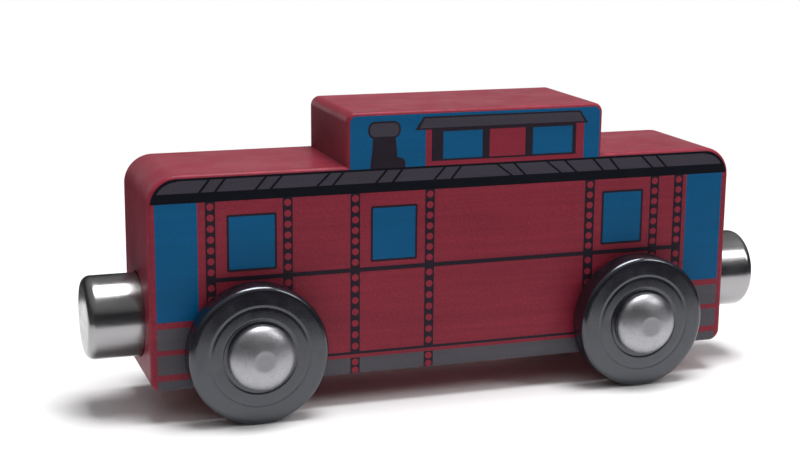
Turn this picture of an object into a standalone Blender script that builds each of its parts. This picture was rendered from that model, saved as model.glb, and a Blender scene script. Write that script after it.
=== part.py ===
"""Toy caboose of painted wood on two rolling wheelsets.

Metres, +Z up. X runs along the car, Y across it, and the wheels stand on z = 0.
The origin is on the ground under the middle of the car.
"""
import math

import bmesh
import bpy

# Wooden body, measured from its end A (towards -X) and from its underside
BODY_LENGTH = 0.0895
BODY_WIDTH = 0.0190
BODY_HEIGHT = 0.0306
CUPOLA_INSET = 0.0284
CUPOLA_LENGTH = 0.0396
CUPOLA_HEIGHT = 0.0076
SHOULDER_RADIUS = 0.0042
CUPOLA_RADIUS = 0.0014
SOLE_RADIUS = 0.0017
EDGE_ROUND = 0.0006

# Wheelsets: two wheels, an axle and two domed caps turn together
WHEEL_RADIUS = 0.0100
WHEEL_WIDTH = 0.0038
FRONT_EDGE = 0.0008
BACK_EDGE = 0.0005
AXLE_RADIUS = 0.0016
AXLE_CHAMFER = 0.0003
AXLE_RISE = 0.0053
AXLE_INSET_A = 0.0146
AXLE_INSET_B = 0.0158

# Moulded face and hollow back of a wheel
RING_RADIUS = 0.0074
RING_WIDTH = 0.0005
RING_DEPTH = 0.0003
MOAT_RADIUS = 0.0055
MOAT_WIDTH = 0.0006
MOAT_DEPTH = 0.0005
CROWN = 0.00015
HUB_SETBACK = 0.0002
BOSS_RADIUS = 0.0034
BOSS_PROUD = 0.0003
BACK_RIM = 0.0018
BACK_DEPTH = 0.0012
DRAFT = 0.0002

# Domed cap pressed over each axle end
CAP_RADIUS = 0.0047
CAP_HEIGHT = 0.0027
CAP_RIM = 0.0006
CAP_CHAMFER = 0.00015
CAP_SOCKET = 0.0012
DIMPLE_RADIUS = 0.0013
DIMPLE_DEPTH = 0.00012

# Coupling magnets, glued into a socket in each end
MAGNET_RADIUS = 0.0060
MAGNET_PROUD = 0.0078
MAGNET_ROUND = 0.0013
MAGNET_RISE = 0.0090
MAGNET_CHAMFER = 0.0003
SOCKET_DEPTH = 0.0025

# Clearances
RUNNING_GAP = 0.00025
SEAT_GAP = 0.00020
END_GAP = 0.00030
SIDE_PLAY = 0.00045

# Roundness
TURN_STEPS = 36
BORE_STEPS = 36
CORNER_STEPS = 6
BEVEL_STEPS = 3
DOME_STEPS = 6
EDGE_ARC_STEPS = 3
SMOOTH_ANGLE = math.radians(35)

COLLECTION = "toy_caboose"
BODY_FLOOR = WHEEL_RADIUS - AXLE_RISE
END_A = -BODY_LENGTH / 2
END_B = BODY_LENGTH / 2
HALF_WIDTH = BODY_WIDTH / 2
WHEEL_BACK = HALF_WIDTH + SIDE_PLAY + BOSS_PROUD
HUB_FACE = WHEEL_BACK + WHEEL_WIDTH - HUB_SETBACK
CAP_BASE = HUB_FACE + SEAT_GAP

# Wheelsets: name, x of the axle
WHEELSETS = (
    ("a", END_A + AXLE_INSET_A),
    ("b", END_B - AXLE_INSET_B),
)
# Sides of a wheelset: name, direction along Y
SIDES = (
    ("front", -1),
    ("rear", 1),
)
# Ends of the body: name, x of the end face, direction along X
ENDS = (
    ("a", END_A, -1),
    ("b", END_B, 1),
)
# Finishes: name, colour, roughness, metallic
FINISHES = (
    ("red_painted_wood", (0.20, 0.018, 0.034, 1.0), 0.45, 0.0),
    ("black_plastic", (0.012, 0.012, 0.014, 1.0), 0.35, 0.0),
    ("zinc_plate", (0.40, 0.40, 0.42, 1.0), 0.28, 1.0),
    ("bright_steel", (0.52, 0.52, 0.53, 1.0), 0.30, 1.0),
    ("nickel_plate", (0.46, 0.45, 0.45, 1.0), 0.15, 1.0),
)


def clear_scene():
    """Remove what a new file starts with."""
    for thing in list(bpy.data.objects):
        bpy.data.objects.remove(thing, do_unlink=True)


def new_collection(name):
    """A collection linked to the scene."""
    collection = bpy.data.collections.new(name)
    bpy.context.scene.collection.children.link(collection)
    return collection


def make_finishes():
    """One Principled material for each finish, by name."""
    made = {}
    for name, colour, roughness, metallic in FINISHES:
        material = bpy.data.materials.new(name)
        material.use_nodes = True
        shader = material.node_tree.nodes["Principled BSDF"]
        shader.inputs["Base Color"].default_value = colour
        shader.inputs["Roughness"].default_value = roughness
        shader.inputs["Metallic"].default_value = metallic
        material.diffuse_color = colour
        made[name] = material
    return made


def arc(centre, radius, start, end, steps):
    """Points of an arc, angles in degrees, both ends included."""
    points = []
    for step in range(steps + 1):
        angle = math.radians(start + (end - start) * step / steps)
        across = centre[0] + radius * math.cos(angle)
        along = centre[1] + radius * math.sin(angle)
        points.append((across, along))
    return points


def round_corners(corners, steps):
    """Outline of right-angled corners (x, z, radius), rounded where a radius is given."""
    outline = []
    count = len(corners)
    for index, (x, z, radius) in enumerate(corners):
        if radius == 0:
            outline.append((x, z))
            continue
        before = corners[index - 1]
        after = corners[(index + 1) % count]
        back = unit(before[0] - x, before[1] - z)
        ahead = unit(after[0] - x, after[1] - z)
        for step in range(steps + 1):
            turn = math.radians(90 * step / steps)
            from_ahead = radius * (1 - math.cos(turn))
            from_back = radius * (1 - math.sin(turn))
            outline.append((
                x + ahead[0] * from_ahead + back[0] * from_back,
                z + ahead[1] * from_ahead + back[1] * from_back,
            ))
    return outline


def unit(x, z):
    """The direction (x, z) with length one."""
    length = math.hypot(x, z)
    return (x / length, z / length)


def flat_outline(name, points, thickness):
    """A filled 2D curve in the XZ plane, as thick as the board, made a mesh."""
    curve = bpy.data.curves.new(name, "CURVE")
    curve.dimensions = "2D"
    curve.fill_mode = "BOTH"
    curve.extrude = thickness / 2
    spline = curve.splines.new("POLY")
    spline.points.add(len(points) - 1)
    for point, (x, z) in zip(spline.points, points):
        point.co = (x, z, 0, 1)
    spline.use_cyclic_u = True
    guide = bpy.data.objects.new(name + "_outline", curve)
    bpy.context.scene.collection.objects.link(guide)
    guide.rotation_euler = (math.radians(90), 0, 0)
    bpy.context.view_layer.update()
    graph = bpy.context.evaluated_depsgraph_get()
    mesh = bpy.data.meshes.new_from_object(guide.evaluated_get(graph))
    mesh.name = name
    placed = guide.matrix_world.copy()
    bpy.data.objects.remove(guide, do_unlink=True)
    return mesh, placed


def mark_outer_edges(mesh, thickness):
    """Weld the caps, make each side one face and mark its outline for the Bevel."""
    grid = bmesh.new()
    grid.from_mesh(mesh)
    bmesh.ops.remove_doubles(grid, verts=grid.verts, dist=0.00001)
    bmesh.ops.dissolve_limit(
        grid, angle_limit=math.radians(1), verts=grid.verts, edges=grid.edges)
    bmesh.ops.recalc_face_normals(grid, faces=grid.faces)
    weight = grid.edges.layers.float.new("bevel_weight_edge")
    side = thickness / 2 - 0.00001
    for edge in grid.edges:
        on_side = all(abs(vert.co.z) > side for vert in edge.verts)
        edge[weight] = 1.0 if on_side else 0.0
    grid.to_mesh(mesh)
    grid.free()


def cylinder_cutter(name, radius, length, place, turn, cutters):
    """A hidden cylinder that a Boolean takes away."""
    bpy.ops.mesh.primitive_cylinder_add(
        vertices=BORE_STEPS, radius=radius, depth=length, location=place, rotation=turn)
    cutter = bpy.context.object
    cutter.name = name
    for owner in list(cutter.users_collection):
        owner.objects.unlink(cutter)
    cutters.objects.link(cutter)
    cutter.hide_render = True
    cutter.display_type = "WIRE"
    return cutter


def cut(piece, cutter):
    """Subtract a cutter from a piece."""
    step = piece.modifiers.new(cutter.name, "BOOLEAN")
    step.operation = "DIFFERENCE"
    step.solver = "EXACT"
    step.object = cutter


def turned(name, profile, closed, finish, collection):
    """A turned piece: a profile of (radius, height) points and a Screw about local Z."""
    section = bpy.data.meshes.new(name + "_section")
    edges = [(index, index + 1) for index in range(len(profile) - 1)]
    if closed:
        edges.append((len(profile) - 1, 0))
    section.from_pydata([(radius, 0, height) for radius, height in profile], edges, [])
    piece = bpy.data.objects.new(name, section)
    collection.objects.link(piece)
    screw = piece.modifiers.new("turn", "SCREW")
    screw.axis = "Z"
    screw.steps = TURN_STEPS
    screw.render_steps = TURN_STEPS
    screw.use_merge_vertices = True
    screw.merge_threshold = 0.00001
    bpy.context.view_layer.update()
    graph = bpy.context.evaluated_depsgraph_get()
    mesh = bpy.data.meshes.new_from_object(piece.evaluated_get(graph))
    mesh.name = name
    mesh.shade_smooth()
    mesh.set_sharp_from_angle(angle=SMOOTH_ANGLE)
    mesh.materials.append(finish)
    piece.modifiers.remove(screw)
    piece.data = mesh
    bpy.data.meshes.remove(section)
    return piece


def make_body(finishes, collection, cutters):
    """The board with its raised cupola, bored for the axles and the magnets."""
    top = BODY_HEIGHT + CUPOLA_HEIGHT
    cupola_a = END_A + CUPOLA_INSET
    cupola_b = cupola_a + CUPOLA_LENGTH
    # Corners of the outline: x, height above the underside, radius
    corners = (
        (END_A, 0, SOLE_RADIUS),
        (END_B, 0, SOLE_RADIUS),
        (END_B, BODY_HEIGHT, SHOULDER_RADIUS),
        (cupola_b, BODY_HEIGHT, 0),
        (cupola_b, top, CUPOLA_RADIUS),
        (cupola_a, top, CUPOLA_RADIUS),
        (cupola_a, BODY_HEIGHT, 0),
        (END_A, BODY_HEIGHT, SHOULDER_RADIUS),
    )
    points = round_corners(corners, CORNER_STEPS)
    mesh, placed = flat_outline("body_block", points, BODY_WIDTH)
    mark_outer_edges(mesh, BODY_WIDTH)
    body = bpy.data.objects.new("body_block", mesh)
    collection.objects.link(body)
    body.matrix_world = placed
    body.location.z = BODY_FLOOR
    mesh.materials.clear()
    mesh.materials.append(finishes["red_painted_wood"])

    bevel = body.modifiers.new("sanded edges", "BEVEL")
    bevel.limit_method = "WEIGHT"
    bevel.width = EDGE_ROUND
    bevel.segments = BEVEL_STEPS

    for name, x in WHEELSETS:
        bore = cylinder_cutter(
            "axle_bore_" + name, AXLE_RADIUS + RUNNING_GAP, BODY_WIDTH * 1.5,
            (x, 0, WHEEL_RADIUS), (math.radians(90), 0, 0), cutters)
        cut(body, bore)
    for name, end, _ in ENDS:
        socket = cylinder_cutter(
            "magnet_socket_" + name, MAGNET_RADIUS + SEAT_GAP, SOCKET_DEPTH * 2,
            (end, 0, BODY_FLOOR + MAGNET_RISE), (0, math.radians(90), 0), cutters)
        cut(body, socket)
    return body


def wheel_profile():
    """Half section of a wheel: cap seat, moat and ring in the crowned face, tread, hollow back and boss."""
    bore = AXLE_RADIUS + SEAT_GAP
    seat = WHEEL_WIDTH - HUB_SETBACK
    moat = WHEEL_WIDTH - MOAT_DEPTH
    ring = WHEEL_WIDTH - RING_DEPTH
    brim = WHEEL_WIDTH - CROWN
    profile = [
        (bore, seat),
        (MOAT_RADIUS - MOAT_WIDTH - DRAFT, seat),
        (MOAT_RADIUS - MOAT_WIDTH, moat),
        (MOAT_RADIUS - DRAFT, moat),
        (MOAT_RADIUS, WHEEL_WIDTH),
        (RING_RADIUS - RING_WIDTH - DRAFT, WHEEL_WIDTH),
        (RING_RADIUS - RING_WIDTH, ring),
        (RING_RADIUS - DRAFT, ring),
        (RING_RADIUS, WHEEL_WIDTH),
    ]
    profile += arc((WHEEL_RADIUS - FRONT_EDGE, brim - FRONT_EDGE), FRONT_EDGE, 90, 0, EDGE_ARC_STEPS)
    profile += arc((WHEEL_RADIUS - BACK_EDGE, BACK_EDGE), BACK_EDGE, 0, -90, EDGE_ARC_STEPS)
    profile += [
        (WHEEL_RADIUS - BACK_RIM, 0),
        (WHEEL_RADIUS - BACK_RIM - DRAFT, BACK_DEPTH),
        (BOSS_RADIUS + DRAFT, BACK_DEPTH),
        (BOSS_RADIUS, -BOSS_PROUD),
        (bore, -BOSS_PROUD),
    ]
    return profile


def cap_profile():
    """Half section of a cap: dimpled dome, straight rim and a blind socket."""
    socket = AXLE_RADIUS + SEAT_GAP
    dome = CAP_HEIGHT - CAP_RIM
    start = math.acos(DIMPLE_RADIUS / CAP_RADIUS)
    profile = [(0, CAP_RIM + dome * math.sin(start) - DIMPLE_DEPTH)]
    for step in range(DOME_STEPS + 1):
        angle = start * (1 - step / DOME_STEPS)
        profile.append((CAP_RADIUS * math.cos(angle), CAP_RIM + dome * math.sin(angle)))
    profile += [
        (CAP_RADIUS, CAP_CHAMFER),
        (CAP_RADIUS - CAP_CHAMFER, 0),
        (socket, 0),
        (socket, CAP_SOCKET),
        (0, CAP_SOCKET),
    ]
    return profile


def axle_profile():
    """Half section of an axle, from its end in one cap to its end in the other."""
    end = CAP_BASE + CAP_SOCKET - END_GAP
    return [
        (0, end),
        (AXLE_RADIUS - AXLE_CHAMFER, end),
        (AXLE_RADIUS, end - AXLE_CHAMFER),
        (AXLE_RADIUS, -end + AXLE_CHAMFER),
        (AXLE_RADIUS - AXLE_CHAMFER, -end),
        (0, -end),
    ]


def magnet_profile():
    """Half section of a magnet, from its flat face down to the floor of its socket."""
    shoulder = MAGNET_PROUD - MAGNET_ROUND
    floor = -SOCKET_DEPTH + END_GAP
    profile = [(0, MAGNET_PROUD)]
    inner = MAGNET_RADIUS - MAGNET_ROUND
    profile += arc((inner, shoulder), MAGNET_ROUND, 90, 0, CORNER_STEPS)
    profile += [
        (MAGNET_RADIUS, floor + MAGNET_CHAMFER),
        (MAGNET_RADIUS - MAGNET_CHAMFER, floor),
        (0, floor),
    ]
    return profile


def make_wheelsets(finishes, collection):
    """Both wheelsets, each under an empty on its axle's axis."""
    for end, x in WHEELSETS:
        axis = bpy.data.objects.new("wheelset_" + end, None)
        axis.empty_display_size = WHEEL_RADIUS
        axis.location = (x, 0, WHEEL_RADIUS)
        collection.objects.link(axis)

        axle = turned("axle_" + end, axle_profile(), False, finishes["bright_steel"], collection)
        axle.parent = axis
        axle.rotation_euler = (math.radians(90), 0, 0)

        for side, way in SIDES:
            # Local +Z points outwards, away from the body
            turn = (math.radians(-90 * way), 0, 0)
            wheel = turned(
                f"wheel_{end}_{side}", wheel_profile(), True, finishes["black_plastic"], collection)
            wheel.parent = axis
            wheel.location = (0, way * WHEEL_BACK, 0)
            wheel.rotation_euler = turn

            cap = turned(
                f"cap_{end}_{side}", cap_profile(), False, finishes["zinc_plate"], collection)
            cap.parent = axis
            cap.location = (0, way * CAP_BASE, 0)
            cap.rotation_euler = turn


def make_magnets(finishes, collection):
    """A round coupling magnet in each end of the body."""
    for name, end, way in ENDS:
        magnet = turned(
            "magnet_" + name, magnet_profile(), False, finishes["nickel_plate"], collection)
        magnet.location = (end, 0, BODY_FLOOR + MAGNET_RISE)
        magnet.rotation_euler = (0, math.radians(90 * way), 0)


def main():
    """Build the whole toy."""
    clear_scene()
    collection = new_collection(COLLECTION)
    cutters = new_collection("cutters")
    finishes = make_finishes()
    make_body(finishes, collection, cutters)
    make_wheelsets(finishes, collection)
    make_magnets(finishes, collection)


main()
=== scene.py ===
"""Finish of a toy caboose: painted board, printed sides, moulded wheels and plated metal.

Lengths are metres. The print's tables are millimetres along the board from its end A and up
from its underside, and both sides carry the same print.
"""
import math

import bmesh
import bpy
from bpy.props import FloatProperty, FloatVectorProperty, IntProperty, PointerProperty
from mathutils import Matrix, Vector


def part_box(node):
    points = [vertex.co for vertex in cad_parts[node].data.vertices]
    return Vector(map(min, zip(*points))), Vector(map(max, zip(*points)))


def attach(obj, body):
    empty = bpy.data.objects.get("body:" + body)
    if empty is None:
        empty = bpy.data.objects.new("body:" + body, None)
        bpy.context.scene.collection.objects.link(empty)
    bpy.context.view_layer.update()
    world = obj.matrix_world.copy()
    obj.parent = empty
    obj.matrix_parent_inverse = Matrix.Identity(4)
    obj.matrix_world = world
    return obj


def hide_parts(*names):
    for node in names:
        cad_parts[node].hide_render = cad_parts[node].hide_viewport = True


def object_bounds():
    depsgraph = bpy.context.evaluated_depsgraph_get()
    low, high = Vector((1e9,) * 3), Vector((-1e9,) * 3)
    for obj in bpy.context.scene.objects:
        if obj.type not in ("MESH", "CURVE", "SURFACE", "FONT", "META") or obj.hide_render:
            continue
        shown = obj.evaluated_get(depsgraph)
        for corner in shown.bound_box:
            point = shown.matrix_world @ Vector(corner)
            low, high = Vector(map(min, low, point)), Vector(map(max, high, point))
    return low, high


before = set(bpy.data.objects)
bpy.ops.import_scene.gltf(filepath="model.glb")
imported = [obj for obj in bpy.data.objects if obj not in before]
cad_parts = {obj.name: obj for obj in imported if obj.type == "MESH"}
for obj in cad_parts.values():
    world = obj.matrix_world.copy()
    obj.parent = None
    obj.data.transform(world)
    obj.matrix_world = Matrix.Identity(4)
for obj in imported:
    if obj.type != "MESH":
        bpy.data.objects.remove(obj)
CAD_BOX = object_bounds()

bl_info = {
    "name": "Toy Caboose Finish",
    "version": (1, 0, 0),
    "blender": (4, 5, 0),
    "location": "View3D > Sidebar > Caboose",
    "description": "Paint, print, moulded wheels and plated metal for a toy caboose",
    "category": "Object",
}

MM = 0.001
WHITE = (1.0, 1.0, 1.0)

# The board, from the packed solids and from the drawing
BOARD_LOW, BOARD_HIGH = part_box("body_block")
HALF_WIDTH = BOARD_HIGH.y
BOARD_LENGTH = (BOARD_HIGH.x - BOARD_LOW.x) / MM
BOARD_TOP = (BOARD_HIGH.z - BOARD_LOW.z) / MM
SHOULDER_HEIGHT = 30.6
CUPOLA_START = 28.4
CUPOLA_END = 68.0
SHOULDER_RADIUS = 4.2
CUPOLA_RADIUS = 1.4
SOLE_RADIUS = 1.7
BORE_RADIUS = 1.85 * MM
SOCKET_RADIUS = 6.2 * MM
SOCKET_DEPTH = 2.5 * MM
SANDED_STEPS = 6
DRILL_SIDES = 72

SIDES = (("front", -1), ("rear", 1))
ENDS = (("a", -1), ("b", 1))
WHEEL_PLACES = [(end, side, way) for end, _ in ENDS for side, way in SIDES]

# Rounded corners in order round the board: corner x, z, radius, way out along x, way out along z
ROUNDED = (
    (0.0, 0.0, SOLE_RADIUS, -1, -1),
    (BOARD_LENGTH, 0.0, SOLE_RADIUS, 1, -1),
    (BOARD_LENGTH, SHOULDER_HEIGHT, SHOULDER_RADIUS, 1, 1),
    (CUPOLA_END, BOARD_TOP, CUPOLA_RADIUS, 1, 1),
    (CUPOLA_START, BOARD_TOP, CUPOLA_RADIUS, -1, 1),
    (0.0, SHOULDER_HEIGHT, SHOULDER_RADIUS, -1, 1),
)
# Where the arc of a corner starts, in degrees, by its ways out
ARC_START = {(-1, -1): 180, (1, -1): 270, (1, 1): 0, (-1, 1): 90}

# How far each layer of ink stands proud of the board, and how deep it is rooted
INK_GROUND = 0.015 * MM
INK_BAND = 0.022 * MM
INK_LINE = 0.030 * MM
INK_BELT = 0.036 * MM
INK_DETAIL = 0.044 * MM
INK_TOP = 0.052 * MM
INK_ROOT = 0.150 * MM

# Print: the blue corner panels and the windows, x0, z0, x1, z1
PANELS = ((1.0, 10.0, 6.93, 26.7), (82.4, 10.0, 88.43, 26.7))
WINDOWS = ((11.35, 16.9, 17.9, 24.42), (32.32, 16.9, 38.74, 24.42), (68.6, 17.0, 74.78, 24.6))
WINDOW_CORNER = 0.08
OUTLINE_CORNER = 0.22
# Steps under the corner panels, low and high edge, then the rows and columns of the lowest one
STEPS = ((6.0, 9.1), (2.45, 5.25))
STEP_SOLE = (0.08, 0.14, 0.24, 0.38, 0.6, 1.55)
STEP_COLUMNS = (0.0, 0.15, 0.35, 0.6, 0.95, 5.85)
# Riveted strips, left and right edge
STRIPS = (
    (8.05, 9.45), (19.1, 20.5), (29.0, 30.4), (40.25, 41.68),
    (65.5, 67.05), (76.3, 77.7), (80.3, 81.78),
)
BELT = (8.05, 15.25, 81.78, 15.86)
SILL_LINE = (8.05, 3.03, 81.78, 3.42)
SILL_ENDS = (8.05, 81.78)
SILL_ROWS = (0.05, 0.12, 0.22, 0.36, 0.6, 2.5)
BAND_LOW = 26.7
BAND_HIGH = 28.1
ROOF_EDGE = 30.1
PRINT_MARGIN = 0.5
# How far apart the edges of two printed shapes stay where they would coincide
EDGE_GAP = 0.05
# Line along the roof's edge: out and in at the shoulders, then up and down between them
SHOULDER_OUT = 0.03
SHOULDER_IN = 0.38
SHOULDER_DOWN = 0.30
BAR_UP = 0.04
BAR_DOWN = 0.26
# Faces along a printed corner and along a printed shoulder
PRINT_STEPS = 8
SHOULDER_STEPS = 14
# The print's pieces, one for each ink and one more for the windows' outlines
SHEETS = (
    "print_blue", "print_window_outlines", "print_roof_grey", "print_black",
    "print_step_grey", "print_lines", "print_red",
)
# Rivets: name, lowest, highest, pitch, rings of faces in each
RIVET_ROWS = (
    ("high", 16.7, 26.0, 1.55, 1),
    ("low", 4.25, 14.45, 1.7, 1),
    ("sill", 0.62, 1.87, 1.25, 5),
)
# Just under the pitch, so that the last rivet of a row isn't lost to rounding
PITCH_SHARE = 0.999
# Roof seams: x at the top, x at the bottom
SEAMS = (
    (8.75, 7.3), (10.95, 9.5), (16.8, 15.2), (19.05, 17.4), (26.0, 24.1), (28.0, 26.4),
    (34.4, 32.8), (36.75, 35.3), (43.2, 41.6), (45.7, 44.2),
    (51.2, 53.6), (53.9, 55.7), (59.1, 61.4), (62.0, 63.9), (66.6, 68.3), (69.3, 70.9),
    (74.6, 76.5), (77.0, 78.8),
)
SEAM_TOP = 29.9
SEAM_WIDTH = 0.40
# Cupola: the house's frames, windows and panel
FRAME_UPRIGHTS = ((41.1, 42.85), (48.9, 50.0), (55.6, 56.8), (63.1, 63.7))
FRAME_LEFT = FRAME_UPRIGHTS[0][0]
FRAME_RIGHT = FRAME_UPRIGHTS[-1][1]
HOUSE_POSTS = ((40.2, 41.1), (63.7, 64.95))
HOUSE_SILL = (30.8, 31.05)
HOUSE_LINTEL = (35.05, 35.45)
HOUSE_PANEL = (50.0, 31.05, 55.6, 35.1)
HOUSE_STRIPE = (40.2, 30.14, 64.95, 30.78)
HOUSE_ROOF = ((38.6, 35.4), (65.6, 35.4), (64.25, 37.25), (39.85, 37.25))
HOUSE_ROOF_INNER = ((39.25, 35.62), (64.95, 35.62), (64.1, 37.02), (40.05, 37.02))
# Chimney: cap x0, z0, x1, z1 and its corner radius, then the stem's outline
CHIMNEY_CAP = (31.55, 34.4, 36.4, 36.85, 1.1)
CHIMNEY_RIM = 0.27
CHIMNEY_STEM = (
    (31.85, 30.14), (37.15, 30.14), (37.15, 30.8), (37.0, 31.2), (36.7, 31.45),
    (36.3, 31.58), (35.95, 31.62), (35.8, 33.0), (35.65, 34.5), (32.3, 34.5),
    (32.2, 33.0), (32.05, 31.8),
)

# Turned pieces: draft of the mould, its roundings with their steps, chamfers of the metal
MOULD_DRAFT = 0.3 * MM
FACE_ROUND = (0.3 * MM, 5)
BACK_ROUND = (0.15 * MM, 3)
CAP_CHAMFER = 0.12 * MM
MAGNET_CHAMFER = 0.25 * MM
DOME_STEPS = 28
RIM_STEPS = 12
EDGE_STEPS = 8
# Most of a side that a rounding may take
SIDE_SHARE = 0.45
# Where a tread's front edge leaves the face, in shares of its rounding, and its arc's first angle
EDGE_LEAVES = (0.7, 0.05)
EDGE_ANGLE = 66
# Where a ring of points on a magnet's face and wall keeps its shading flat
FLAT_SHARE = 0.6
# Flat pressed in a cap: share of its radius, share of its depth
FLAT_SHAPE = ((0, 0), (0.45, 0), (0.75, 0.06), (0.9, 0.4), (0.98, 0.82))

# Lamps: name, width, height, place, shown by gloss
LAMPS = (
    ("key", 0.16, 0.36, (0.42, -0.34, 0.44), True),
    ("top", 0.38, 0.38, (0.06, 0.0, 0.62), True),
    ("fill", 0.60, 0.40, (-0.20, -0.45, 0.60), False),
)
LAMP_AIM = Vector((0, 0, 0.02))
# Sky, as the height of a direction: where its light rises, and where its white ends
SKY_RISE = (0.1, 0.8)
SKY_WHITE = (0.16, 0.20)
# Camera fitted to the toy's straight edges: place, then azimuth, elevation and roll in degrees
CAMERA_PLACE = (-0.08165, -0.2234, 0.0762)
CAMERA_TURN = (-18.92, 12.59, 0.49)
FLOOR_REACH = 3.0
FLOOR_LEVEL = -0.02 * MM
# How much each axis counts in a floor point's distance, less along the toy
FLOOR_OVAL = (0.7, 1.0, 0.0)


def length(name, description, millimetres):
    """A length that a user sets, given in millimetres."""
    return FloatProperty(
        name=name, description=description, default=millimetres * MM,
        min=0.0, precision=5, unit="LENGTH")


def tint(name, description, colour):
    """A colour that a user sets."""
    return FloatVectorProperty(
        name=name, description=description, default=colour,
        size=3, min=0.0, max=1.0, subtype="COLOR")


def count(name, description, default, least):
    """A count of faces that a user sets."""
    return IntProperty(name=name, description=description, default=default, min=least)


def power(name, description, default):
    """A lamp's power that a user sets."""
    return FloatProperty(name=name, description=description, default=default, unit="POWER")


class CabooseBoard(bpy.types.PropertyGroup):
    """Sizes and paint of the board."""

    edge_round: length("Edge rounding", "Radius of the sanded edges", 0.6)
    red: tint("Red paint", "Colour of the board", (0.200, 0.018, 0.034))
    corner_steps: count("Corner steps", "Faces along a rounded corner", 16, 4)


class CaboosePrint(bpy.types.PropertyGroup):
    """Inks and line sizes of the printed sides."""

    blue: tint("Blue", "Ink of the panels and windows", (0.001, 0.076, 0.188))
    roof_grey: tint("Roof grey", "Ink of the roofs", (0.046, 0.040, 0.054))
    black: tint("Black", "Ink of the band under the roof", (0.004, 0.005, 0.009))
    line: tint("Line", "Ink of the outlines and strips", (0.018, 0.012, 0.020))
    step_grey: tint("Step grey", "Ink of the steps and the sill", (0.072, 0.068, 0.080))
    window_line: length("Window line", "Width of a window's outline", 0.3)
    rivet_radius: length("Rivet radius", "Radius of a printed rivet", 0.51)
    rivet_sides: count("Rivet sides", "Sides of a printed rivet", 20, 6)


class CabooseWheels(bpy.types.PropertyGroup):
    """Sizes and plastic of the wheels."""

    seat_radius: length("Seat radius", "Radius of the seat under the cap", 4.7)
    seat_depth: length("Seat depth", "Depth of the seat under the cap", 0.03)
    moat_radius: length("Moat radius", "Outer radius of the moat round the cap", 5.5)
    moat_depth: length("Moat depth", "Depth of the moat round the cap", 0.06)
    ring_radius: length("Ring radius", "Outer radius of the ring in the face", 7.4)
    ring_width: length("Ring width", "Width of the ring in the face", 0.7)
    ring_depth: length("Ring depth", "Depth of the ring in the face", 0.04)
    crown: length("Crown", "How far the face falls towards its edge", 0.05)
    front_edge: length("Front edge", "Rounding of the tread's front edge", 0.8)
    back_edge: length("Back edge", "Rounding of the tread's back edge", 0.5)
    bore: length("Bore", "Radius of the hole for the axle", 1.8)
    boss_radius: length("Boss radius", "Radius of the boss on the back", 3.4)
    boss_proud: length("Boss height", "How far the boss stands out at the back", 0.3)
    back_rim: length("Back rim", "Width of the rim round the hollow back", 1.8)
    back_depth: length("Back depth", "Depth of the hollow back", 1.2)
    black: tint("Plastic", "Colour of the plastic", (0.006, 0.006, 0.009))
    turns: count("Steps", "Faces round a turned piece", 144, 24)


class CabooseMetal(bpy.types.PropertyGroup):
    """Sizes and plating of the caps, the magnets and the axles."""

    cap_rim: length("Cap rim", "Height of a cap's straight rim", 0.6)
    dimple_radius: length("Dimple radius", "Radius of the flat in a cap", 1.5)
    dimple_depth: length("Dimple depth", "Depth of the flat in a cap", 0.015)
    cap_bore: length("Cap bore", "Radius of the socket in a cap", 1.8)
    cap_socket: length("Cap socket", "Depth of the socket in a cap", 1.2)
    magnet_round: length("Magnet rounding", "Rounding of a magnet's rim", 1.3)
    zinc: tint("Zinc", "Colour of the caps", (0.37, 0.37, 0.39))
    nickel: tint("Nickel", "Colour of the magnets", (0.34, 0.335, 0.34))
    steel: tint("Steel", "Colour of the axles", (0.52, 0.52, 0.53))


class CabooseStage(bpy.types.PropertyGroup):
    """Floor, lamps and camera."""

    floor: tint("Floor", "Colour of the floor", (0.93, 0.925, 0.93))
    card: tint("Cards", "Colour of the dark cards", (0.06, 0.06, 0.066))
    white_start: length("White start", "Where the floor starts to turn plain white", 60)
    white_end: length("White end", "Where the floor is plain white", 220)
    card_gap: length("Card gap", "From the toy's ends and middle line to the dark cards", 60)
    card_height: length("Card height", "Height of the dark cards", 38)
    key_power: power("Key", "Power of the key lamp", 1.1)
    top_power: power("Top", "Power of the top lamp", 4.6)
    fill_power: power("Fill", "Power of the fill lamp", 0.3)
    sky_low: FloatProperty(name="Low sky", description="Light near the horizon", default=0.06)
    sky_high: FloatProperty(name="High sky", description="Light from above", default=0.32)
    lens: FloatProperty(
        name="Lens", description="Focal length of the camera", default=72.6, unit="CAMERA")


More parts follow.
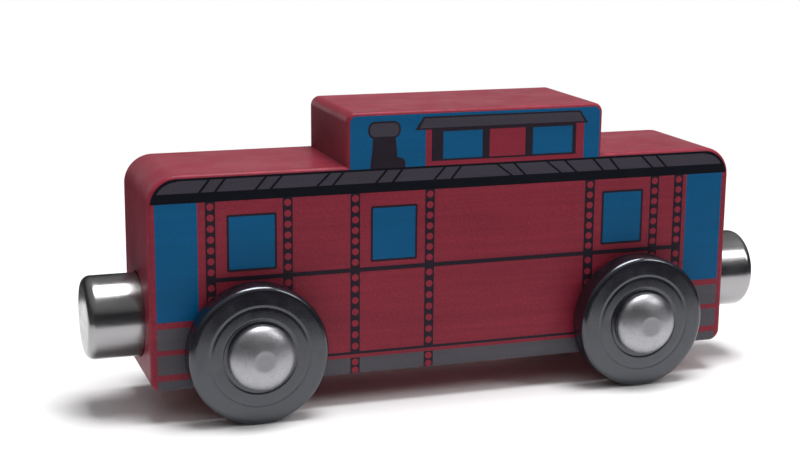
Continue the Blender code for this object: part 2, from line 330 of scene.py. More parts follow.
class NodeKit:
    """A node tree, with short calls that add nodes to it."""

    def __init__(self, tree):
        self.nodes = tree.nodes
        self.links = tree.links

    def join(self, value, socket):
        """Link a socket to an input, or set the input's own constant value."""
        if isinstance(value, bpy.types.NodeSocket):
            self.links.new(value, socket)
        elif socket.type == "RGBA":
            socket.default_value = (*value, 1.0)
        else:
            socket.default_value = value

    def add(self, kind, choice=None, *first, **named):
        """A node of a kind, with one choice of its own, its first inputs and others by name."""
        node = self.nodes.new(kind)
        if choice:
            setattr(node, *choice)
        for value, socket in zip(first, node.inputs):
            self.join(value, socket)
        for name, value in named.items():
            self.join(value, node.inputs[name.replace("_", " ")])
        return node

    def spread(self, value, low, high, to_low, to_high, curve="LINEAR"):
        """A value's range turned into another, held at both ends."""
        return self.add(
            "ShaderNodeMapRange", ("interpolation_type", curve), Value=value,
            From_Min=low, From_Max=high, To_Min=to_low, To_Max=to_high).outputs["Result"]

    def calculate(self, operation, first, second):
        """One step of arithmetic on two numbers or sockets."""
        return self.add("ShaderNodeMath", ("operation", operation), first, second).outputs["Value"]

    def part(self, vector, axis):
        """One part of a vector."""
        return self.add("ShaderNodeSeparateXYZ", Vector=vector).outputs[axis]

    def seen(self):
        """1 for what the camera, gloss and glass see, and 0 for light on the toy."""
        rays = self.add("ShaderNodeLightPath").outputs
        seen = self.calculate("MAXIMUM", rays["Is Camera Ray"], rays["Is Glossy Ray"])
        return self.calculate("MAXIMUM", seen, rays["Is Transmission Ray"])


class Finish(NodeKit):
    """A material, with short calls for its pattern and relief."""

    def __init__(self, name):
        self.material = bpy.data.materials.new(name)
        self.material.use_nodes = True
        super().__init__(self.material.node_tree)
        self.shader = self.nodes["Principled BSDF"]
        coordinates = self.add("ShaderNodeTexCoord").outputs
        self.place = coordinates["Object"]
        self.turned = coordinates["UV"]
        self.normal = coordinates["Normal"]

    def surface(self, **values):
        """Link sockets to the shader's inputs, or set their constant values, by name."""
        for name, value in values.items():
            self.join(value, self.shader.inputs[name.replace("_", " ")])
        return self.material

    def noise(self, scale, detail=3.0, stretch=(1, 1, 1), source=None, roughness=0.5):
        """Noise of a size, stretched along the axes."""
        mapping = self.add("ShaderNodeMapping", Vector=source or self.place, Scale=stretch)
        return self.add(
            "ShaderNodeTexNoise", Vector=mapping.outputs["Vector"],
            Scale=scale, Detail=detail, Roughness=roughness).outputs["Fac"]

    def vary(self, pattern, low, high):
        """The middle of a noise's range turned into a range of values."""
        return self.spread(pattern, 0.3, 0.7, low, high)

    def blend(self, factor, first, second):
        """A colour between two, each a colour or a socket."""
        node = self.add("ShaderNodeMix", ("data_type", "RGBA"), Factor=factor)
        colours = [socket for socket in node.inputs if socket.type == "RGBA"]
        for value, socket in zip((first, second), colours):
            self.join(value, socket)
        return next(socket for socket in node.outputs if socket.type == "RGBA")

    def bump(self, height, depth, **under):
        """Relief of a depth in metres, over other relief if that is given as Normal."""
        return self.add("ShaderNodeBump", Height=height, Distance=depth, **under).outputs["Normal"]


def shade(colour, factor):
    """A colour made lighter or darker."""
    return tuple(min(1.0, part * factor) for part in colour)


def pigment(finish, colour, uneven):
    """Paint or ink on wood: broad clouds, streaks along the grain and fine mottle."""
    cloud = finish.noise(95, 2.0, (0.5, 1, 1))
    grain = finish.noise(1300, 3.0, (0.03, 1, 1), roughness=0.6)
    mottle = finish.noise(4200, 2.0, (0.7, 1, 1))
    factor = finish.vary(cloud, 0.92, 1.08)
    for fine, share in ((grain, 0.7), (mottle, 1.4)):
        swing = uneven * share
        streak = finish.vary(fine, 1 - swing, 1 + swing)
        factor = finish.calculate("MULTIPLY", factor, streak)
    return finish.add(
        "ShaderNodeVectorMath", ("operation", "SCALE"), colour, Scale=factor).outputs["Vector"]


def wood_relief(finish):
    """Grain of the board showing through paint and ink, with fine orange peel."""
    grain = finish.noise(1500, 4.0, (0.035, 1, 1), roughness=0.6)
    peel = finish.noise(1900, 2.0)
    return finish.bump(peel, 0.006 * MM, Normal=finish.bump(grain, 0.016 * MM))


def board_paint(settings):
    """Satin red over wood, a little lighter in patches on the sanded edges: thinner paint there, and a
    painted edge highlight.
    """
    finish = Finish("red_paint_on_wood")
    # Painted highlight with thin paint: the sanded edges are lightened in patches, as where light
    # catches their rounding.
    facing = finish.calculate("ABSOLUTE", finish.part(finish.normal, "Y"), 0)
    slope = finish.calculate("MULTIPLY", facing, finish.calculate("SUBTRACT", 1, facing))
    edge = finish.spread(slope, 0.08, 0.24, 0, 1)
    patchy = finish.spread(finish.noise(420, 3.0), 0.42, 0.64, 0.15, 0.8)
    edge_wear_and_highlight = finish.calculate("MULTIPLY", edge, patchy)
    return finish.surface(
        Base_Color=finish.blend(edge_wear_and_highlight, pigment(finish, settings.red, 0.13), shade(settings.red, 1.5)),
        Roughness=finish.vary(finish.noise(160, 4.0), 0.36, 0.50),
        Normal=wood_relief(finish),
        Specular_IOR_Level=0.16)


def ink(name, colour):
    """Printed ink: nearly even, with the press's faint mottle and the wood's grain."""
    finish = Finish(name)
    return finish.surface(
        Base_Color=pigment(finish, colour, 0.06),
        Roughness=finish.vary(finish.noise(900, 3.0), 0.37, 0.48),
        Normal=wood_relief(finish),
        Specular_IOR_Level=0.12)


def moulded_plastic(black):
    """Black plastic with the fine rings that a turned mould leaves, and faint scuffs."""
    finish = Finish("moulded_black_plastic")
    rings = finish.noise(1.0, 4.0, (3, 80, 1), finish.turned, 0.6)
    scuffs = finish.noise(520, 4.0)
    dust = finish.spread(finish.noise(240, 4.0), 0.45, 0.75, 0, 1)
    return finish.surface(
        Base_Color=finish.blend(dust, black, shade(black, 1.6)),
        Roughness=finish.vary(scuffs, 0.16, 0.26),
        Normal=finish.bump(scuffs, 0.003 * MM, Normal=finish.bump(rings, 0.003 * MM)),
        Specular_IOR_Level=1.0,
        Specular_Tint=(0.90, 0.93, 1.0))


def zinc_plate(zinc):
    """Dull zinc: cloudy, speckled with small pits, darker on the pressed flat."""
    finish = Finish("zinc_plate")
    cloud = finish.noise(420, 4.0, roughness=0.6)
    speckle = finish.noise(4200, 3.0)
    pits = finish.spread(speckle, 0.56, 0.72, 0, 1)
    tone = finish.blend(finish.vary(cloud, 0, 1), shade(zinc, 0.86), shade(zinc, 1.10))
    pitted = finish.blend(pits, tone, shade(zinc, 0.70))
    flat = finish.spread(finish.part(finish.turned, "Y"), 0.08, 0.21, 1.0, 0.0)
    return finish.surface(
        Base_Color=finish.blend(flat, pitted, shade(zinc, 0.78)),
        Roughness=finish.vary(cloud, 0.36, 0.48),
        Normal=finish.bump(cloud, 0.010 * MM, Normal=finish.bump(speckle, 0.006 * MM)),
        Metallic=1.0)


def nickel_plate(nickel):
    """Bright nickel with light handling marks."""
    finish = Finish("nickel_plate")
    smear = finish.noise(180, 4.0, (1, 1, 3), roughness=0.6)
    marks = finish.noise(900, 2.0, (1, 6, 1))
    return finish.surface(
        Base_Color=finish.blend(finish.vary(smear, 0, 1), shade(nickel, 0.9), nickel),
        Roughness=finish.spread(smear, 0.3, 0.75, 0.16, 0.30),
        Normal=finish.bump(marks, 0.003 * MM),
        Metallic=1.0)


def drawn_steel(steel):
    """Axle steel with the lines of drawing along it."""
    finish = Finish("drawn_steel")
    lines = finish.noise(3000, 3.0, (1, 0.03, 1))
    return finish.surface(
        Base_Color=finish.blend(lines, shade(steel, 0.8), shade(steel, 1.1)),
        Roughness=finish.vary(lines, 0.26, 0.40),
        Normal=finish.bump(lines, 0.006 * MM),
        Metallic=1.0)


def new_object(name, data):
    """An object for a mesh, lamp or camera, linked to the scene."""
    made = bpy.data.objects.new(name, data)
    bpy.context.scene.collection.objects.link(made)
    return made


def piece_of(name, grid, closed=True):
    """A piece made of a bmesh; a closed one has its faces turned outwards."""
    if closed:
        bmesh.ops.recalc_face_normals(grid, faces=grid.faces)
    mesh = bpy.data.meshes.new(name)
    grid.to_mesh(mesh)
    grid.free()
    return new_object(name, mesh)


def baked(piece):
    """Turn an object with modifiers into a plain mesh."""
    bpy.context.view_layer.update()
    graph = bpy.context.evaluated_depsgraph_get()
    mesh = bpy.data.meshes.new_from_object(piece.evaluated_get(graph))
    piece.modifiers.clear()
    piece.data = mesh
    mesh.name = piece.name
    return piece


def smooth(piece, angle=40):
    """Smooth shading that keeps flat faces flat and edges above an angle sharp."""
    piece.data.shade_smooth()
    piece.data.set_sharp_from_angle(angle=math.radians(angle))
    weights = piece.modifiers.new("flat faces", "WEIGHTED_NORMAL")
    weights.keep_sharp = True
    weights.weight = 100
    return baked(piece)


def dress(piece, material, body, slot, *nodes):
    """Give a piece its material, the body that it rides on and the nodes that it stands for."""
    piece.data.materials.clear()
    piece.data.materials.append(material)
    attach(piece, body)
    if nodes:
        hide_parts(*nodes)
    return piece


def arc(centre, radius, start, end, steps):
    """Points of an arc, angles in degrees, both ends included."""
    points = []
    for step in range(steps + 1):
        angle = math.radians(start + (end - start) * step / steps)
        points.append((centre[0] + radius * math.cos(angle), centre[1] + radius * math.sin(angle)))
    return points


def rounded_corner(x, z, radius, way_x, way_z, steps):
    """Points of a corner's rounding, given the sharp corner and its ways out."""
    start = ARC_START[way_x, way_z]
    return arc((x - way_x * radius, z - way_z * radius), radius, start, start + 90, steps)


def box_outline(x0, z0, x1, z1):
    """Corners of a rectangle."""
    return [(x0, z0), (x1, z0), (x1, z1), (x0, z1)]


def soft_box(x0, z0, x1, z1, radius, steps=PRINT_STEPS):
    """A rectangle with rounded corners."""
    corners = ((x1, z0, 1, -1), (x1, z1, 1, 1), (x0, z1, -1, 1), (x0, z0, -1, -1))
    return [point for x, z, *ways in corners for point in rounded_corner(x, z, radius, *ways, steps)]


def fillet(path, radius, steps):
    """A path (x, y, rounded or not) with its marked corners rounded."""
    points = []
    for index, (x, y, rounded) in enumerate(path):
        corner = Vector((x, y))
        if not rounded:
            points.append((x, y))
            continue
        back = Vector(path[index - 1][:2]) - corner
        ahead = Vector(path[(index + 1) % len(path)][:2]) - corner
        reach = min(radius, back.length * SIDE_SHARE, ahead.length * SIDE_SHARE)
        start = corner + back.normalized() * reach
        end = corner + ahead.normalized() * reach
        for step in range(steps + 1):
            t = step / steps
            place = start * (1 - t) ** 2 + corner * 2 * t * (1 - t) + end * t ** 2
            points.append((place.x, place.y))
    return points


def turned_piece(name, profile, base, axis, steps, closed=False):
    """A piece turned about an axis: profile points are (radius, height along the axis).

    Its UV map runs round the piece in u and along the profile, in centimetres, in v.
    """
    grid = bmesh.new()
    uv_map = grid.loops.layers.uv.new("UVMap")
    axis = Vector(axis)
    first = Vector((0, 0, 1))
    second = axis.cross(first)
    rings = []
    along = [0.0]
    for index, (radius, height) in enumerate(profile):
        if index:
            along.append(along[-1] + math.dist(profile[index], profile[index - 1]))
        middle = base + axis * height
        turns = [math.tau * step / steps for step in range(steps)] if radius > 1e-9 else [0.0]
        rings.append([
            grid.verts.new(middle + (first * math.cos(turn) + second * math.sin(turn)) * radius)
            for turn in turns])
    levels = list(zip(rings, along))
    pairs = list(zip(levels, levels[1:]))
    if closed:
        pairs.append((levels[-1], (rings[0], along[-1] + math.dist(profile[-1], profile[0]))))
    for low, high in pairs:
        for step in range(steps):
            corners = []
            for (ring, reach), turns in ((low, (step, step + 1)), (high, (step + 1, step))):
                if len(ring) == 1:
                    corners.append((ring[0], step + 0.5, reach))
                else:
                    corners += [(ring[turn % steps], turn, reach) for turn in turns]
            face = grid.faces.new([vert for vert, _, _ in corners])
            for loop, (_, around, reach) in zip(face.loops, corners):
                loop[uv_map].uv = (around / steps, reach / (10 * MM))
    return smooth(piece_of(name, grid))


def board_outline(steps):
    """The board's outline in millimetres, with every rounded corner."""
    corners = [rounded_corner(*corner, steps) for corner in ROUNDED]
    corners.insert(3, [(CUPOLA_END, SHOULDER_HEIGHT)])
    corners.insert(6, [(CUPOLA_START, SHOULDER_HEIGHT)])
    return [point for corner in corners for point in corner]


def drill(name, radius, depth, place, turn):
    """A hidden cylinder for a Boolean."""
    bpy.ops.mesh.primitive_cylinder_add(
        vertices=DRILL_SIDES, radius=radius, depth=depth, location=place, rotation=turn)
    cutter = bpy.context.object
    cutter.name = name
    return cutter


def make_board(settings):
    """The painted board, with its edges sanded round, its bores and its sockets."""
    grid = bmesh.new()
    weight = grid.edges.layers.float.new("bevel_weight_edge")
    rings = []
    for _, side in SIDES:
        ring = [
            grid.verts.new((BOARD_LOW.x + x * MM, side * HALF_WIDTH, BOARD_LOW.z + z * MM))
            for x, z in board_outline(settings.corner_steps)]
        for edge in grid.faces.new(ring).edges:
            edge[weight] = 1.0
        rings.append(ring)
    near, far = rings
    for index, vert in enumerate(near):
        after = (index + 1) % len(near)
        grid.faces.new((vert, near[after], far[after], far[index]))
    board = piece_of("painted_board", grid)

    bevel = board.modifiers.new("sanded edges", "BEVEL")
    bevel.limit_method = "WEIGHT"
    bevel.width = settings.edge_round
    bevel.segments = SANDED_STEPS
    quarter = math.radians(90)
    cutters = []
    for end, _ in ENDS:
        low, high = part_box("axle_" + end)
        middle = (low + high) / 2
        cutters.append(drill("bore_" + end, BORE_RADIUS, HALF_WIDTH * 3, middle, (quarter, 0, 0)))
    for end, way in ENDS:
        low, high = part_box("magnet_" + end)
        middle = Vector((BOARD_HIGH.x if way > 0 else BOARD_LOW.x, 0, (low.z + high.z) / 2))
        cutters.append(drill("socket_" + end, SOCKET_RADIUS, SOCKET_DEPTH * 2, middle, (0, quarter, 0)))
    for cutter in cutters:
        cut = board.modifiers.new(cutter.name, "BOOLEAN")
        cut.operation = "DIFFERENCE"
        cut.solver = "EXACT"
        cut.object = cutter
    baked(board)
    for cutter in cutters:
        bpy.data.objects.remove(cutter, do_unlink=True)
    return smooth(board, 30)


def outline_distance(x, z):
    """How far a point of the side lies inside the board's outline, in millimetres."""
    near = [x, BOARD_LENGTH - x, z]
    for corner_x, corner_z, radius, way_x, way_z in ROUNDED:
        out_x = x - (corner_x - way_x * radius)
        out_z = z - (corner_z - way_z * radius)
        if out_x * way_x > 0 and out_z * way_z > 0:
            near.append(radius - math.hypot(out_x, out_z))
    if CUPOLA_START < x < CUPOLA_END:
        near.append(BOARD_TOP - z)
        if z > SHOULDER_HEIGHT:
            near += [x - CUPOLA_START, CUPOLA_END - x]
    else:
        near.append(SHOULDER_HEIGHT - z)
    return max(0.0, min(near))


def edge_drop(x, z):
    """How far the sanded edge falls back at a point of the side."""
    rounding = bpy.context.scene.caboose_board.edge_round
    into = max(0.0, rounding - outline_distance(x, z) * MM)
    return rounding - math.sqrt(max(0.0, rounding ** 2 - into ** 2))


def side_point(x, z, side, proud):
    """A point of the print in the world, following the board's rounded edge."""
    depth = HALF_WIDTH - edge_drop(x, z) + proud
    return Vector((BOARD_LOW.x + x * MM, side * depth, BOARD_LOW.z + z * MM))


def above_sole(x, z, low, high):
    """A height in a band along the sole, squeezed where the sole's corner rises."""
    out = SOLE_RADIUS - min(x, BOARD_LENGTH - x, SOLE_RADIUS)
    rise = SOLE_RADIUS - math.sqrt(SOLE_RADIUS ** 2 - out ** 2)
    return z + rise * (high - z) / (high - low)


class InkSheet:
    """Printed shapes of one colour, on both sides of the board."""

    def __init__(self, name):
        self.name = name
        self.grid = bmesh.new()

    def points(self, outline, side, proud):
        """New points along an outline."""
        return [self.grid.verts.new(side_point(x, z, side, proud)) for x, z in outline]

    def strip(self, first, second):
        """Faces between two closed lines of as many points."""
        for index in range(len(first)):
            after = (index + 1) % len(first)
            self.grid.faces.new((first[index], first[after], second[after], second[index]))

    def plate(self, outline, side, proud):
        """An outline at its two depths, rooted in the board, with the thin wall between them."""
        levels = [self.points(outline, side, depth) for depth in (proud, -INK_ROOT)]
        self.strip(*levels)
        return levels

    def shape(self, outline, proud):
        """A filled shape, as a thin closed plate."""
        for _, side in SIDES:
            for level in self.plate(outline, side, proud):
                self.grid.faces.new(level)

    def frame(self, outer, inner, proud):
        """A frame between two outlines of as many points."""
        for _, side in SIDES:
            for far, near in zip(self.plate(outer, side, proud), self.plate(inner, side, proud)):
                self.strip(far, near)

    def patch(self, columns, heights, proud):
        """A band along the sole, laid over the rounded edge in columns and rows."""
        ends = (heights[0], heights[-1])
        for _, side in SIDES:
            borders = []
            for depth in (proud, -INK_ROOT):
                rows = [
                    self.points([(x, above_sole(x, z, *ends)) for x in columns], side, depth)
                    for z in heights]
                for low, high in zip(rows, rows[1:]):
                    for index in range(len(columns) - 1):
                        self.grid.faces.new((low[index], low[index + 1], high[index + 1], high[index]))
                border = rows[0] + [row[-1] for row in rows[1:]] + rows[-1][-2::-1]
                borders.append(border + [row[0] for row in rows[-2:0:-1]])
            self.strip(*borders)

    def printed(self, material):
        """The finished piece."""
        return dress(piece_of(self.name, self.grid), material, "body", "red_painted_wood")


def roof_arc(low, high, margin):
    """Points of the left shoulder between two heights, going up, at a margin from the edge."""
    radius = SHOULDER_RADIUS - margin
    middle = SHOULDER_HEIGHT - SHOULDER_RADIUS
    start, end = (
        180 - math.degrees(math.asin(min(1.0, max(-1.0, (z - middle) / radius)))) for z in (low, high))
    return arc((SHOULDER_RADIUS, middle), radius, start, end, SHOULDER_STEPS)


def mirrored(points):
    """Points seen from the board's other end."""
    return [(BOARD_LENGTH - x, z) for x, z in points]


def roof_area(low, high, margin):
    """The part of the side between two heights, ended by the shoulders."""
    left = roof_arc(low, high, margin)
    return left + mirrored(left)[::-1]


def print_panels(blue, outlines, line):
    """Blue corner panels, windows and cupola, with the windows' outlines."""
    for panel in PANELS + WINDOWS:
        blue.shape(box_outline(*panel), INK_GROUND)
    for x0, z0, x1, z1 in WINDOWS:
        inner = soft_box(x0, z0, x1, z1, WINDOW_CORNER, 2)
        outer = soft_box(x0 - line, z0 - line, x1 + line, z1 + line, OUTLINE_CORNER, 2)
        outlines.frame(outer, inner, INK_LINE)
    radius = CUPOLA_RADIUS - PRINT_MARGIN
    left = CUPOLA_START + PRINT_MARGIN
    right = CUPOLA_END - PRINT_MARGIN
    high = BOARD_TOP - PRINT_MARGIN
    cupola = [(left, ROOF_EDGE), (right, ROOF_EDGE)]
    cupola += rounded_corner(right, high, radius, 1, 1, PRINT_STEPS)
    cupola += rounded_corner(left, high, radius, -1, 1, PRINT_STEPS)
    blue.shape(cupola, INK_GROUND)


def print_roof(grey, black):
    """The roof's grey, the black band under it, its outline and its seams."""
    grey.shape(roof_area(BAND_HIGH, ROOF_EDGE, PRINT_MARGIN), INK_GROUND)
    black.shape(roof_area(BAND_LOW, BAND_HIGH, PRINT_MARGIN - EDGE_GAP), INK_BAND)
    edge = roof_arc(BAND_HIGH, ROOF_EDGE + SHOULDER_OUT, PRINT_MARGIN - SHOULDER_OUT)
    edge += roof_arc(BAND_HIGH, ROOF_EDGE - SHOULDER_DOWN, PRINT_MARGIN + SHOULDER_IN)[::-1]
    black.shape(edge, INK_LINE)
    black.shape(mirrored(edge), INK_LINE)
    start = roof_arc(BAND_HIGH, ROOF_EDGE, PRINT_MARGIN)[-1][0]
    bar = (start, ROOF_EDGE - BAR_DOWN, BOARD_LENGTH - start, ROOF_EDGE + BAR_UP)
    black.shape(box_outline(*bar), INK_BELT)
    half = SEAM_WIDTH / 2
    for top, bottom in SEAMS:
        seam = [(bottom - half, BAND_HIGH), (bottom + half, BAND_HIGH)]
        black.shape(seam + [(top + half, SEAM_TOP), (top - half, SEAM_TOP)], INK_LINE)


def print_lower(steps, lines):
    """Steps, sill, belt and the dark ground of the riveted strips."""
    for x0, _, x1, _ in PANELS:
        for low, high in STEPS:
            steps.shape(box_outline(x0, low, x1, high), INK_GROUND)
    left = [PANELS[0][0] + step for step in STEP_COLUMNS]
    right = [PANELS[1][0]] + [PANELS[1][2] - step for step in STEP_COLUMNS[-2::-1]]
    for columns in (left, right):
        steps.patch(columns, STEP_SOLE, INK_GROUND)
    steps.patch(SILL_ENDS, SILL_ROWS, INK_GROUND)
    lines.shape(box_outline(*BELT), INK_BELT)
    lines.shape(box_outline(*SILL_LINE), INK_BAND)
    for strip in STRIPS:
        lines.shape(box_outline(strip[0], SILL_LINE[3], strip[1], BAND_LOW), INK_LINE)
        lines.patch(strip, SILL_ROWS, INK_BAND)


def print_cupola(grey, lines, red):
    """Chimney and house on the cupola."""
    x0, z0, x1, z1, radius = CHIMNEY_CAP
    rim = CHIMNEY_RIM
    lintel, eave = HOUSE_LINTEL
    lines.shape(CHIMNEY_STEM, INK_LINE)
    lines.shape(soft_box(x0, z0, x1, z1, radius), INK_BELT)
    grey.shape(soft_box(x0 + rim, z0 + rim, x1 - rim, z1 - rim, radius - rim), INK_DETAIL)
    for left, right in FRAME_UPRIGHTS:
        lines.shape(box_outline(left, HOUSE_SILL[1], right, eave - EDGE_GAP), INK_LINE)
    lines.shape(box_outline(FRAME_LEFT, HOUSE_SILL[0], FRAME_RIGHT, HOUSE_SILL[1]), INK_BELT)
    red.shape(box_outline(*HOUSE_PANEL), INK_DETAIL)
    lines.shape(box_outline(FRAME_LEFT, lintel, FRAME_RIGHT, eave), INK_BELT)
    for left, right in HOUSE_POSTS:
        red.shape(box_outline(left, HOUSE_STRIPE[3], right, eave), INK_LINE)
    red.shape(box_outline(*HOUSE_STRIPE), INK_BELT)
    lines.shape(HOUSE_ROOF, INK_DETAIL)
    grey.shape(HOUSE_ROOF_INNER, INK_TOP)


def rivet_tree():
    """Geometry Nodes that lay flat round rivets along each edge of a mesh."""
    tree = bpy.data.node_groups.new("rivet_rows", "GeometryNodeTree")
    kinds = {
        "Geometry": "Geometry", "Pitch": "Float", "Radius": "Float", "Thickness": "Float",
        "Sides": "Int", "Rings": "Int", "Material": "Material",
    }
    for name, kind in kinds.items():
        tree.interface.new_socket(name, in_out="INPUT", socket_type="NodeSocket" + kind)
    tree.interface.new_socket("Geometry", in_out="OUTPUT", socket_type="NodeSocketGeometry")
    kit = NodeKit(tree)
    given = kit.add("NodeGroupInput").outputs
    path = kit.add("GeometryNodeMeshToCurve", Mesh=given["Geometry"])
    spaced = kit.add(
        "GeometryNodeResampleCurve", ("mode", "LENGTH"),
        Curve=path.outputs["Curve"], Length=given["Pitch"])
    rivet = kit.add(
        "GeometryNodeMeshCylinder", Vertices=given["Sides"], Fill_Segments=given["Rings"],
        Radius=given["Radius"], Depth=given["Thickness"])
    placed = kit.add(
        "GeometryNodeInstanceOnPoints", Points=spaced.outputs["Curve"],
        Instance=rivet.outputs["Mesh"], Rotation=(math.radians(90), 0, 0))
    real = kit.add("GeometryNodeRealizeInstances", Geometry=placed.outputs["Instances"])
    painted = kit.add(
        "GeometryNodeSetMaterial", Geometry=real.outputs["Geometry"], Material=given["Material"])
    kit.add("NodeGroupOutput", Geometry=painted.outputs["Geometry"])
    return tree


def rivet_rows(name, tree, low, high, **values):
    """Rivets of every strip between two heights, on both sides, laid over the sanded edge."""
    middle = HALF_WIDTH + (INK_DETAIL - INK_ROOT) / 2
    points = []
    for _, side in SIDES:
        for left, right in STRIPS:
            x = BOARD_LOW.x + (left + right) / 2 * MM
            points += [(x, side * middle, BOARD_LOW.z + z * MM) for z in (low, high)]
    mesh = bpy.data.meshes.new(name)
    mesh.from_pydata(points, [(start, start + 1) for start in range(0, len(points), 2)], [])
    rivets = new_object(name, mesh)
    rows = rivets.modifiers.new("rivets", "NODES")
    rows.node_group = tree
    for item in tree.interface.items_tree:
        if item.name in values:
            rows[item.identifier] = values[item.name]
    baked(rivets)
    for vertex in rivets.data.vertices:
        drop = edge_drop((vertex.co.x - BOARD_LOW.x) / MM, (vertex.co.z - BOARD_LOW.z) / MM)
        vertex.co.y -= math.copysign(drop, vertex.co.y)
    return rivets


def wheel_profile(settings, radius, width):
    """Half section of a wheel, heights from the back of its rim to its face."""
    seat = width - settings.seat_depth
    moat = width - settings.moat_depth
    ring = width - settings.ring_depth
    outer = settings.ring_radius
    inner = outer - settings.ring_width
    front = settings.front_edge
    shoulder = radius - front
    brim = width - settings.crown
    face = [
        (settings.bore, seat, False),
        (settings.seat_radius, seat, True),
        (settings.seat_radius + MOULD_DRAFT, moat, True),
        (settings.moat_radius - MOULD_DRAFT, moat, True),
        (settings.moat_radius, width, True),
        (inner, width, True),
        (inner + MOULD_DRAFT, ring, True),
        (outer - MOULD_DRAFT, ring, True),
        (outer, width, True),
        (shoulder, brim, True),
        (radius - front * EDGE_LEAVES[0], brim - front * EDGE_LEAVES[1], False),
    ]
    edge = settings.back_edge
    back = [
        (radius - edge, 0, False),
        (radius - settings.back_rim, 0, True),
        (radius - settings.back_rim - MOULD_DRAFT, settings.back_depth, True),
        (settings.boss_radius + MOULD_DRAFT, settings.back_depth, True),
        (settings.boss_radius, -settings.boss_proud, True),
        (settings.bore, -settings.boss_proud, False),
    ]
    profile = fillet(face, *FACE_ROUND)
    profile += arc((shoulder, brim - front), front, EDGE_ANGLE, 0, EDGE_STEPS)
    profile += arc((radius - edge, edge), edge, 0, -90, EDGE_STEPS)
    return profile + fillet(back, *BACK_ROUND)[1:]


def cap_profile(settings, radius, height):
    """Half section of a cap, from the middle of its dome to the floor of its socket."""
    rim = settings.cap_rim
    flat = settings.dimple_radius
    depth = settings.dimple_depth
    dome = height - rim + depth
    start = math.acos(flat / radius)
    level = rim + dome * math.sin(start) - depth
    profile = [(flat * out, level + depth * up) for out, up in FLAT_SHAPE]
    for step in range(1, DOME_STEPS + 1):
        angle = start * (1 - step / DOME_STEPS)
        profile.append((radius * math.cos(angle), rim + dome * math.sin(angle)))
    profile += [
        (radius, CAP_CHAMFER * 2),
        (radius - CAP_CHAMFER * 0.3, CAP_CHAMFER),
        (radius - CAP_CHAMFER, 0),
        (settings.cap_bore, 0),
        (settings.cap_bore, settings.cap_socket),
        (0, settings.cap_socket),
    ]
    return profile


def magnet_profile(settings, radius, height):
    """Half section of a magnet, from its face to the floor of its socket."""
    rounding = settings.magnet_round
    inner = radius - rounding
    profile = [(0, height), (inner * FLAT_SHARE, height)]
    profile += arc((inner, height - rounding), rounding, 90, 0, RIM_STEPS)
    profile += [(radius, height * FLAT_SHARE), (radius, MAGNET_CHAMFER)]
    return profile + [(radius - MAGNET_CHAMFER, 0), (0, 0)]


def turned_place(node, axis, way):
    """A round node's radius, its length along an axis and the middle of its base."""
    low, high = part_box(node)
    base = (low + high) / 2
    base[axis] = high[axis] if way < 0 else low[axis]
    return (high.z - low.z) / 2, high[axis] - low[axis], base


def make_wheels(settings):
    """The four wheels."""
    plastic = moulded_plastic(settings.black)
    for end, side, way in WHEEL_PLACES:
        node = f"wheel_{end}_{side}"
        radius, width, base = turned_place(node, 1, way)
        base.y += way * settings.boss_proud
        profile = wheel_profile(settings, radius, width - settings.boss_proud)
        wheel = turned_piece(node + "_moulding", profile, base, (0, way, 0), settings.turns, True)
        dress(wheel, plastic, "wheelset_" + end, "black_plastic", node)


def make_caps(settings, steps):
    """The four axle caps."""
    zinc = zinc_plate(settings.zinc)
    for end, side, way in WHEEL_PLACES:
        node = f"cap_{end}_{side}"
        radius, height, base = turned_place(node, 1, way)
        profile = cap_profile(settings, radius, height)
        cap = turned_piece(node + "_dome", profile, base, (0, way, 0), steps)
        dress(cap, zinc, "wheelset_" + end, "zinc_plate", node)


def make_magnets(settings, steps):
    """The two coupling magnets."""
    nickel = nickel_plate(settings.nickel)
    for end, way in ENDS:
        node = "magnet_" + end
        radius, height, base = turned_place(node, 0, way)
        profile = magnet_profile(settings, radius, height)
        magnet = turned_piece(node + "_plated", profile, base, (way, 0, 0), steps)
        dress(magnet, nickel, "body", "nickel_plate", node)


def make_floor(settings):
    """A wide pale floor that keeps the toy's shadow and is seen as plain white further away."""
    finish = Finish("pale_floor")
    finish.surface(Base_Color=settings.floor, Roughness=0.6, Specular_IOR_Level=0.2)
    flat = finish.add("ShaderNodeVectorMath", ("operation", "MULTIPLY"), finish.place, FLOOR_OVAL)
    reach = finish.add("ShaderNodeVectorMath", ("operation", "LENGTH"), flat.outputs["Vector"])
    away = finish.spread(reach.outputs["Value"], settings.white_start, settings.white_end, 0.0, 1.0)
    share = finish.calculate("MULTIPLY", finish.seen(), away)
    plain = finish.add("ShaderNodeEmission", Color=WHITE, Strength=1.0)
    mixed = finish.add(
        "ShaderNodeMixShader", None, share, finish.shader.outputs["BSDF"], plain.outputs["Emission"])
    finish.join(mixed.outputs["Shader"], finish.nodes["Material Output"].inputs["Surface"])
    grid = bmesh.new()
    bmesh.ops.create_grid(grid, x_segments=1, y_segments=1, size=FLOOR_REACH)
    bmesh.ops.translate(grid, verts=grid.verts, vec=(0, 0, FLOOR_LEVEL))
    floor = piece_of("floor", grid, closed=False)
    floor.data.materials.append(finish.material)


def make_cards(settings):
    """Low dark cards round the toy, which only gloss shows, as the room beyond a lit table."""
    finish = Finish("dark_card")
    finish.surface(Base_Color=settings.card, Roughness=0.9, Specular_IOR_Level=0.0)
    reach_x = CAD_BOX[1][0] + settings.card_gap
    reach_y = settings.card_gap
    grid = bmesh.new()
    low, high = (
        [grid.verts.new((x * reach_x, y * reach_y, z)) for x, y in box_outline(-1, -1, 1, 1)]
        for z in (0, settings.card_height))
    for index in range(4):
        after = (index + 1) % 4
        grid.faces.new((low[index], high[index], high[after], low[after]))
    cards = piece_of("dark_cards", grid, closed=False)
    cards.data.materials.append(finish.material)
    for ray in ("camera", "diffuse", "transmission", "shadow"):
        setattr(cards, "visible_" + ray, False)


